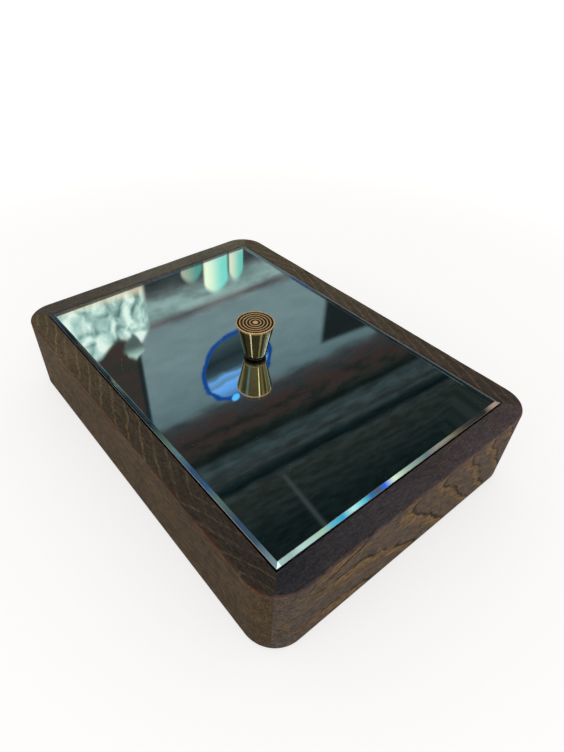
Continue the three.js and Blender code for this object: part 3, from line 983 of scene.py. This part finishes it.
def ellipse(shift, rise, centre, radii):
    """How far a place is from an ellipse's centre, in its radii: aside, above and the sum of the squares."""
    aside = (shift - centre[0]) * (1 / radii[0])
    above = (rise - centre[1]) * (1 / radii[1])
    return aside, above, aside * aside + above * above


def strip(nodes, coords, behind, start, end, marks):
    """A narrow strip of light across the sky from one direction to another, coloured along its length."""
    normal = start.cross(end).normalized()
    turn = start.angle(end)
    swing = nodes.math("ARCTAN2", coords.dot(normal.cross(start)), coords.dot(start))
    share = coords.dot(normal).window(-0.045, 0.045, 0.015) * swing.window(-0.11, turn + 0.04, 0.01)
    return nodes.mix(share, behind, (swing * (1 / turn)).ramp(marks))


def wall_colours(nodes, rise, shift, stain, facing):
    """The wall that the lid reflects, with its beams, brickwork and two dark pillars."""
    # by half the slope up: the floor, a pale course, the wall, its brown top, grey beams and the ceiling
    height = rise * 0.5 + (shift - 0.75) * 0.034
    wall = height.ramp([
        (0.000, 0.20, 0.21, 0.21), (0.120, 0.13, 0.15, 0.15), (0.285, 0.030, 0.032, 0.034),
        (0.303, 0.046, 0.058, 0.060), (0.313, 0.11, 0.13, 0.13), (0.323, 0.26, 0.37, 0.36),
        (0.342, 0.28, 0.40, 0.39), (0.352, 0.13, 0.11, 0.115), (0.360, 0.200, 0.280, 0.296),
        (0.420, 0.190, 0.272, 0.290), (0.480, 0.150, 0.225, 0.246), (0.515, 0.120, 0.185, 0.205),
        (0.532, 0.053, 0.064, 0.071), (0.560, 0.041, 0.046, 0.050), (0.580, 0.030, 0.028, 0.025),
        (0.600, 0.026, 0.032, 0.030), (0.620, 0.013, 0.019, 0.017), (0.635, 0.008, 0.013, 0.012),
        (0.648, 0.028, 0.040, 0.043), (0.670, 0.041, 0.064, 0.069), (0.690, 0.036, 0.046, 0.049),
        (0.698, 0.026, 0.034, 0.034), (0.710, 0.036, 0.050, 0.051), (0.728, 0.008, 0.016, 0.018),
        (0.745, 0.003, 0.009, 0.011), (0.762, 0.028, 0.038, 0.036), (0.800, 0.020, 0.027, 0.025),
        (0.860, 0.017, 0.025, 0.024), (0.950, 0.008, 0.015, 0.016), (1.000, 0.007, 0.013, 0.014),
    ])
    smooth = height.window(0.36, 0.52, 0.01)
    wall = wall.scaled(1.0 + stain.band(0.35, 0.65, -0.28, 0.28) * smooth.between(1.0, 0.22))
    bricks = height.window(0.538, 0.612, 0.012) * stain.band(0.42, 0.56) * 0.75
    wall = nodes.mix(bricks, wall, (0.048, 0.028, 0.026))
    joist = (shift / rise.at_least(0.1)).window(0.480, 0.490, 0.007) * rise.band(1.52, 1.58) * 0.85
    wall = nodes.mix(joist, wall, (0.058, 0.071, 0.068))
    pillar = shift.window(0.05, 0.290, 0.008) * rise.window(0.72, 1.20, 0.02) * facing
    rust = nodes.mix(stain.band(0.42, 0.58), (0.030, 0.026, 0.020), (0.046, 0.024, 0.019))
    wall = nodes.mix(pillar * 0.95, wall, rust)
    seam = shift.window(0.284, 0.297, 0.004) * rise.window(0.74, 1.06, 0.03) * facing
    wall = nodes.mix(seam * 0.9, wall, (0.006, 0.012, 0.012))
    pillar = shift.window(0.86, 1.35, 0.012) * rise.window(0.78, 0.985, 0.012) * facing
    return nodes.mix(pillar * 0.96, wall, (0.008, 0.010, 0.011))


def with_looking_glass(nodes, rise, shift, stain, facing, wall):
    """A round looking glass in a blue rim hangs on the wall."""
    aside, above, square = ellipse(shift, rise, (0.565, 0.947), (0.105, 0.118))
    away = square.root() + stain.band(0.3, 0.7, -0.035, 0.035)
    tilted = above + aside * 0.12 + stain.band(0.3, 0.7, -0.06, 0.06)
    sheen = ((tilted + 1.0) * 0.5).ramp([
        (0.00, 0.060, 0.105, 0.120), (0.30, 0.018, 0.030, 0.036), (0.48, 0.040, 0.070, 0.085),
        (0.53, 0.10, 0.20, 0.30), (0.57, 0.16, 0.44, 0.98), (0.66, 0.14, 0.28, 0.46),
        (0.70, 0.17, 0.48, 1.05), (0.84, 0.12, 0.32, 0.70), (1.00, 0.05, 0.14, 0.34),
    ])
    wall = nodes.mix(away.band(0.93, 1.0, 1.0, 0.0) * facing, wall, sheen)
    wall = nodes.mix(away.window(0.945, 1.075, 0.03) * facing, wall, (0.005, 0.065, 0.30))
    bead = ellipse(shift, rise, (0.557, 1.065), (0.014, 0.014))[2]
    return nodes.mix(bead.band(0.6, 1.2, 1.0, 0.0) * facing, wall, (0.12, 0.62, 1.20))


def with_windows(nodes, rise, shift, facing, glow):
    """A crumpled pale curtain with a tuft at its edge, and a window in three leaves."""
    folds = nodes.joined(shift * 34, rise * 22).noise(1.0, 3, 0.5, 0.5)
    ragged = rise + nodes.joined(shift * 14, rise * 5).noise(1.0, 1, 0.5) * 0.16
    curtain = shift.window(0.10, 0.325, 0.008) * ragged.window(0.56, 0.83, 0.01) * facing
    drape = folds.ramp([
        (0.34, 0.13, 0.22, 0.21), (0.43, 0.34, 0.52, 0.48), (0.52, 0.58, 0.80, 0.74),
        (0.61, 0.95, 1.08, 0.98),
    ])
    drape = nodes.mix(rise.band(0.622, 0.645, 0.6, 0.0), drape, (1.15, 0.90, 0.62))
    glow = nodes.mix(curtain, glow, drape)
    _, above, knot = ellipse(shift, rise, (0.283, 0.772), (0.024, 0.036))
    knot = knot + folds.band(0.35, 0.65, -0.35, 0.35)
    tuft = nodes.mix(above.band(-0.1, 0.9), (0.09, 0.13, 0.12), (0.52, 0.72, 0.65))
    glow = nodes.mix(knot.band(0.7, 1.2, 1.0, 0.0) * facing, glow, tuft)
    leaves = [(0.546, 0.584, 0.672, 0.9), (0.478, 0.541, 0.690, 1.1), (0.420, 0.474, 0.645, 0.50)]
    for left, right, top, strength in leaves:
        bow = (shift - (left + right) / 2) * (2 / (right - left))
        arch = rise + bow * bow * 0.024
        leaf = bow.window(-1.0, 1.0, 0.12) * arch.window(0.50, top, 0.010)
        pane = nodes.mix(bow.band(-0.9, 0.7), (0.95, 1.05, 0.80), (0.22, 0.75, 0.66))
        pane = nodes.mix(rise.band(0.585, 0.610, 0.7, 0.0), pane, (1.20, 0.92, 0.58))
        glow = nodes.mix(leaf * facing, glow, pane.scaled(strength))
    return glow


def with_panels(nodes, coords, up, glow):
    """Soft panels and gaps behind and over the camera, which only the knob and the wood show."""
    x, y, _ = nodes.split(coords)
    heading = nodes.math("ARCTAN2", y, x) * (180 / math.pi)
    behind = coords.dot(direction(WALL_HEADING + 148, 0)).band(-0.15, 0.15)
    dusk = up.ramp([
        (0.00, 0.50, 0.50, 0.50), (0.20, 0.28, 0.29, 0.30), (0.38, 0.075, 0.075, 0.080),
        (1.00, 0.070, 0.070, 0.075),
    ])
    glow = nodes.mix(behind, glow, dusk)
    # each panel is (heading, half its width, glow)
    high = [(-75, 4.5, (1.7, 1.7, 2.2)), (11, 8, (0.42, 0.44, 0.42)), (52, 8, (0.28, 0.31, 0.52)),
            (88, 4.5, (1.5, 1.9, 3.2)), (103, 5, (0.36, 0.33, 0.27))]
    low = [(-86, 8, (0.17, 0.36, 0.80)), (-7.5, 2.8, (2.2, 2.4, 2.4)), (17, 8, (0.27, 0.27, 0.26)),
           (48, 4, (0.42, 0.36, 0.30)), (86, 4, (0.6, 0.6, 0.8)), (-151, 10, (0.36, 0.37, 0.40))]
    for panels, bottom, top in ((high, 0.72, 0.962), (low, 0.24, 0.60)):
        level = up.window(bottom, top, 0.014)
        for middle, half, color in panels:
            glow = nodes.mix(heading.window(middle - half, middle + half, 1.2) * level, glow, color)
    return glow


def with_strips(nodes, coords, glow):
    """Two coloured strips of light, one for each near edge's bevel."""
    glow = strip(nodes, coords, glow, direction(52.5, 64.8), direction(76, 40), [
        (0.00, 0.95, 1.35, 1.25), (0.07, 0.70, 1.00, 0.95), (0.12, 1.05, 1.50, 1.40),
        (0.22, 0.80, 1.25, 0.95), (0.26, 0.25, 1.10, 1.40), (0.31, 0.06, 0.80, 1.35),
        (0.36, 1.10, 1.90, 1.90), (0.40, 0.25, 1.35, 1.50), (0.44, 0.03, 0.32, 0.90),
        (0.475, 0.12, 0.20, 0.24), (0.505, 0.00, 0.32, 1.90), (0.545, 1.60, 1.95, 1.45),
        (0.60, 0.75, 1.00, 0.80), (0.69, 0.24, 0.36, 0.38), (0.73, 0.55, 0.44, 0.36),
        (0.80, 0.36, 0.28, 0.15), (0.86, 0.10, 0.09, 0.07), (0.94, 0.03, 0.03, 0.03),
        (0.975, 0.9, 0.60, 0.48), (1.00, 0.8, 0.55, 0.40),
    ])
    return strip(nodes, coords, glow, direction(-168.9, 32.8), direction(-142.5, 63.8), [
        (0.00, 0.03, 0.06, 0.09), (0.08, 0.004, 0.010, 0.017), (0.42, 0.006, 0.016, 0.024),
        (0.46, 0.05, 0.09, 0.085), (0.51, 0.10, 0.17, 0.14), (0.57, 0.075, 0.15, 0.16),
        (0.61, 0.035, 0.08, 0.20), (0.65, 0.04, 0.095, 0.15), (0.68, 0.035, 0.10, 0.23),
        (0.73, 0.10, 0.175, 0.155), (0.79, 0.07, 0.11, 0.12), (0.82, 0.04, 0.08, 0.15),
        (0.90, 0.05, 0.09, 0.13), (1.00, 0.25, 0.36, 0.40),
    ])


def make_world():
    """Gloss sees a wall and windows under a dark ceiling, other rays a pale room, the camera plain white."""
    world = bpy.data.worlds.new("studio")
    bpy.context.scene.world = world
    world.use_nodes = True
    nodes = Nodes(world.node_tree)
    coords = nodes.made("TexCoord", "Generated")
    up = coords.dot((0, 0, 1))
    ahead = coords.dot(direction(WALL_HEADING, 0))
    aside = coords.dot(direction(WALL_HEADING - 90, 0))
    # the wall that is straight ahead runs on into side walls; rise and shift are slopes, seen from the lid
    reach = abs(ahead).at_least(abs(aside) * 0.6).at_least(0.001)
    rise, shift = up / reach, aside / reach
    facing = ahead.band(0.0, 0.1)
    stain = nodes.joined(shift * 11, rise * 26).noise(1.0, 4, 0.6)
    glow = wall_colours(nodes, rise, shift, stain, facing)
    glow = with_looking_glass(nodes, rise, shift, stain, facing, glow)
    glow = with_windows(nodes, rise, shift, facing, glow)
    glow = with_panels(nodes, coords, up, glow)
    glow = with_strips(nodes, coords, glow)

    room = up.ramp([(0.0, 1.0, 0.98, 0.96), (0.25, 0.92, 0.90, 0.88), (1.0, 0.36, 0.35, 0.34)])
    light_path = nodes.node("LightPath").outputs
    seen = nodes.mix(Field(nodes, light_path["Is Glossy Ray"]), room, glow)
    seen = nodes.mix(Field(nodes, light_path["Is Camera Ray"]), seen, (1.0, 1.0, 1.0))
    nodes.node("OutputWorld", Surface=nodes.made("Background", "Background", Color=seen))


def make_studio():
    make_camera()
    make_floor()
    make_world()
    make_lights()
    bpy.context.scene.view_settings.view_transform = "Standard"


make_frame()
charcoal = felt("charcoal_felt", (0.012, 0.013, 0.017), (0.040, 0.042, 0.052))
brown_felt = felt("foot_felt_brown", (0.020, 0.016, 0.013), (0.060, 0.048, 0.040))
rubber_black = rubber()
make_box_fittings(charcoal, brown_felt, rubber_black)
make_lid(charcoal, rubber_black)
make_studio()
